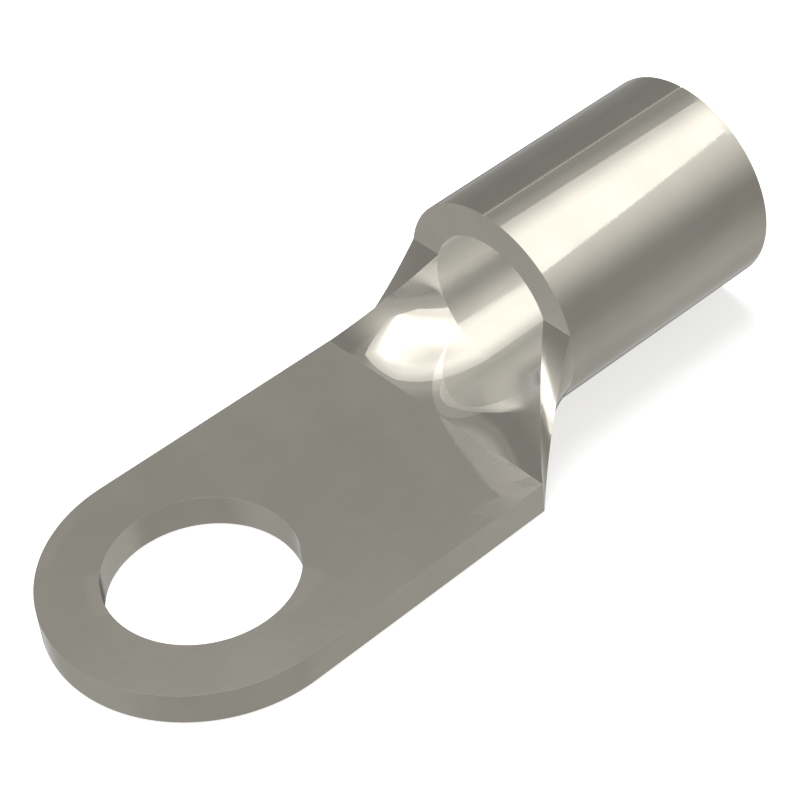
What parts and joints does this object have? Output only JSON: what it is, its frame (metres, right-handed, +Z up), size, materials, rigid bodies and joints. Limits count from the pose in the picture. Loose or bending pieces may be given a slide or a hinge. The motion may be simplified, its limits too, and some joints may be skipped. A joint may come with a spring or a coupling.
{
  "type": "ring terminal",
  "caption": "Uninsulated crimp ring terminal: a flat tongue with a stud hole curls up through an open trough into a rolled wire barrel with a seam along its top.",
  "frame": {"origin": "Centre of the stud hole, on the underside of the flat tongue.", "axes": "+X runs along the tongue from the stud hole to the wire end, +Y across it, +Z up, out of the tongue's upper side."},
  "size_m": [0.0275, 0.0106, 0.0077],
  "materials": {
    "tinned_copper": "bright tin plating over copper, warm grey and mirror-like"
  },
  "bodies": {
    "root": {"ring_terminal": "tinned_copper"}
  },
  "joints": []
}
